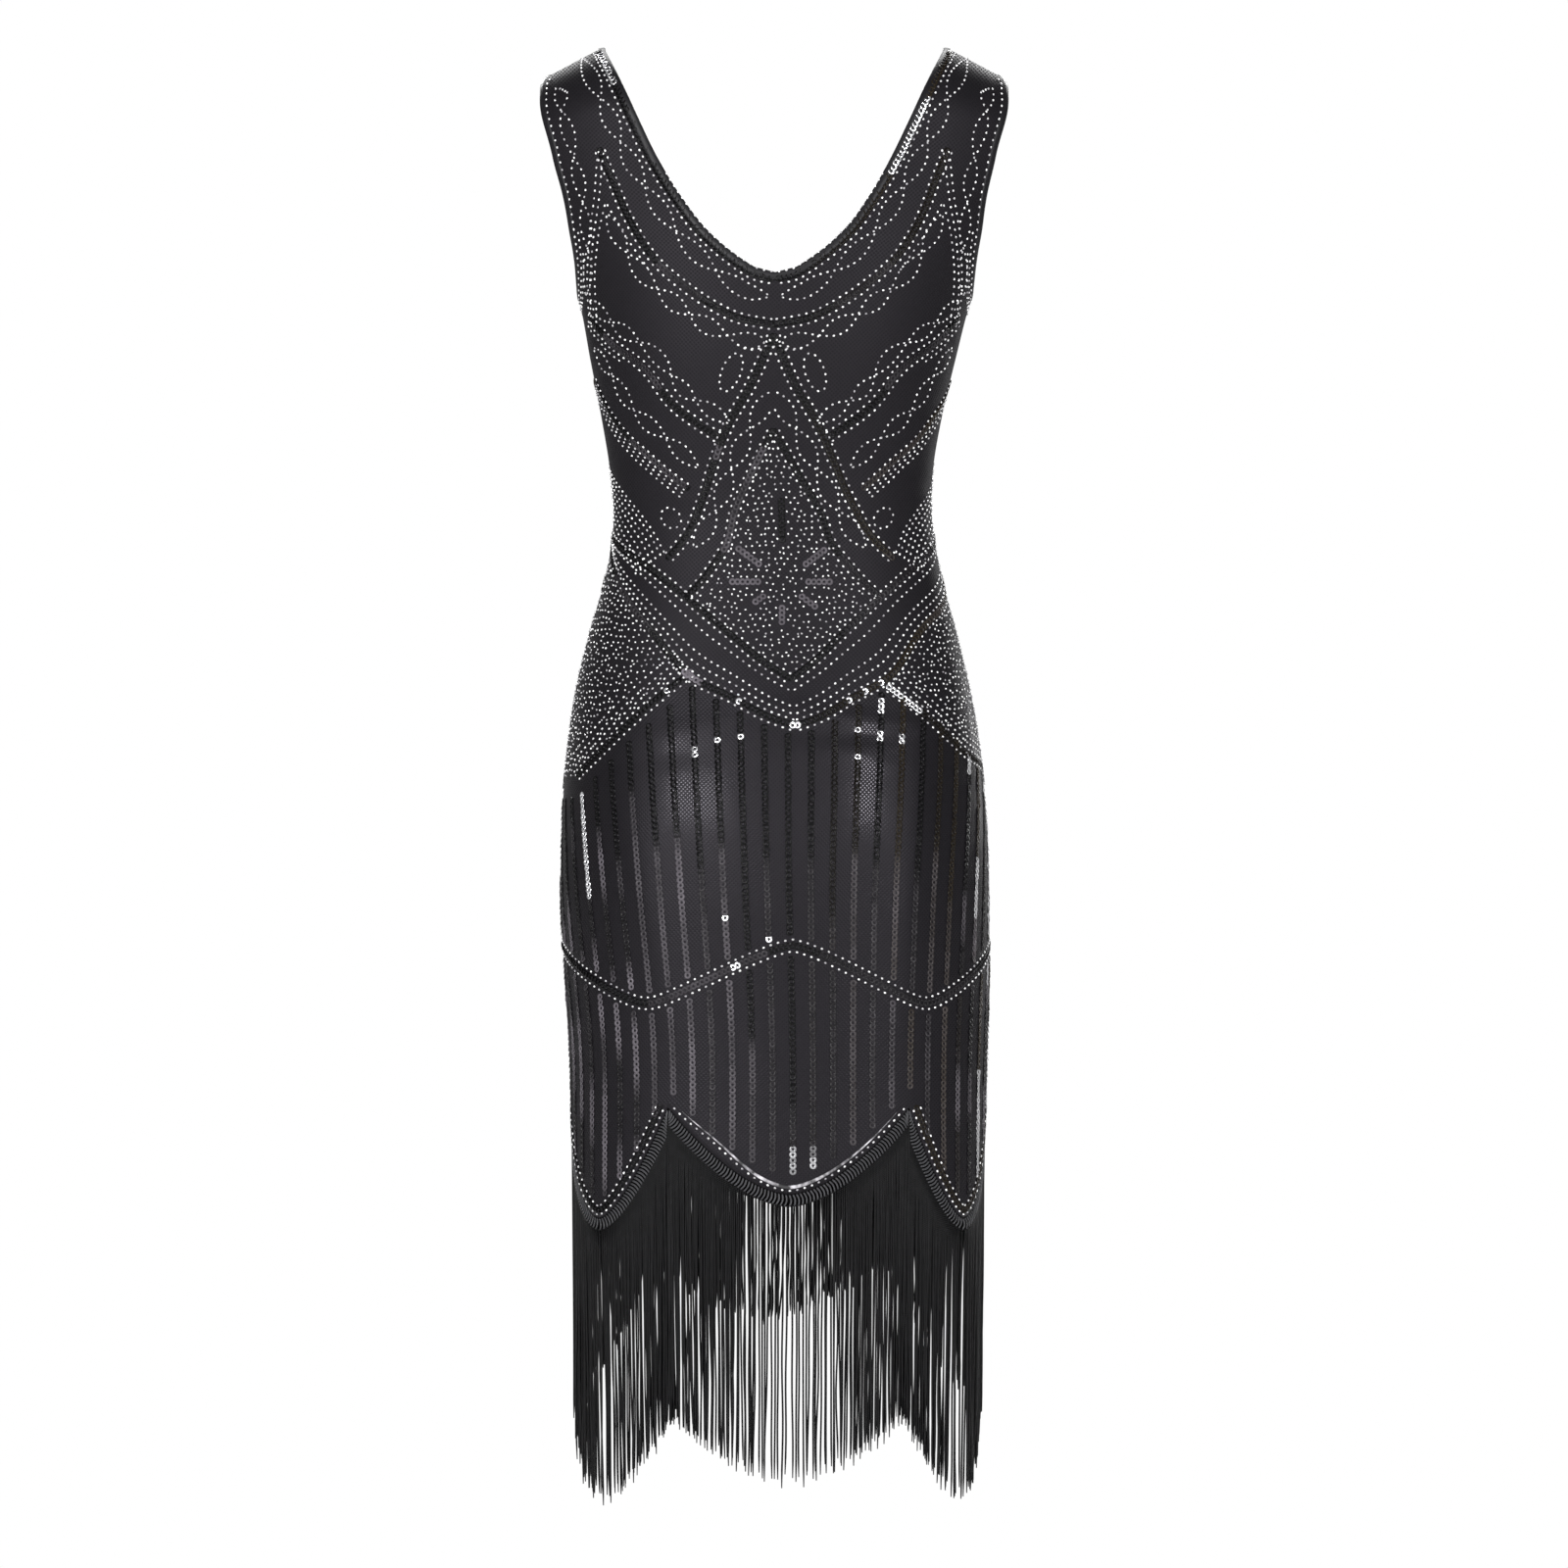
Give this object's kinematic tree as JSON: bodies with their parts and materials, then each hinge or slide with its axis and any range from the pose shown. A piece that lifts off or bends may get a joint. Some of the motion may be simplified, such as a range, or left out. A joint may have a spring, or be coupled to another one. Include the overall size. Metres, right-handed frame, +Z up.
{
  "type": "flapper dress",
  "caption": "Sleeveless V-necked flapper dress in its worn, hollow form, with bound edges, a scalloped hem and a long strand fringe.",
  "frame": {"origin": "midway between the two shoulder seams, at the height of their inner ends, where the wearer's shoulders hold the dress", "axes": "+Z up, -Y towards the dress's back, +X towards the wearer's right"},
  "size_m": [0.3548, 0.2487, 1.0969],
  "materials": {
    "cloth": "black embroidery mesh over satin, soft sheen",
    "binding": "black satin binding",
    "fringe": "black rayon chainette, slightly glossy"
  },
  "bodies": {
    "root": {"back_panel": "cloth", "front_panel": "cloth", "neck_binding": "binding", "armhole_binding_right": "binding", "armhole_binding_left": "binding", "fringe_back": "fringe", "fringe_front": "fringe"}
  },
  "joints": []
}
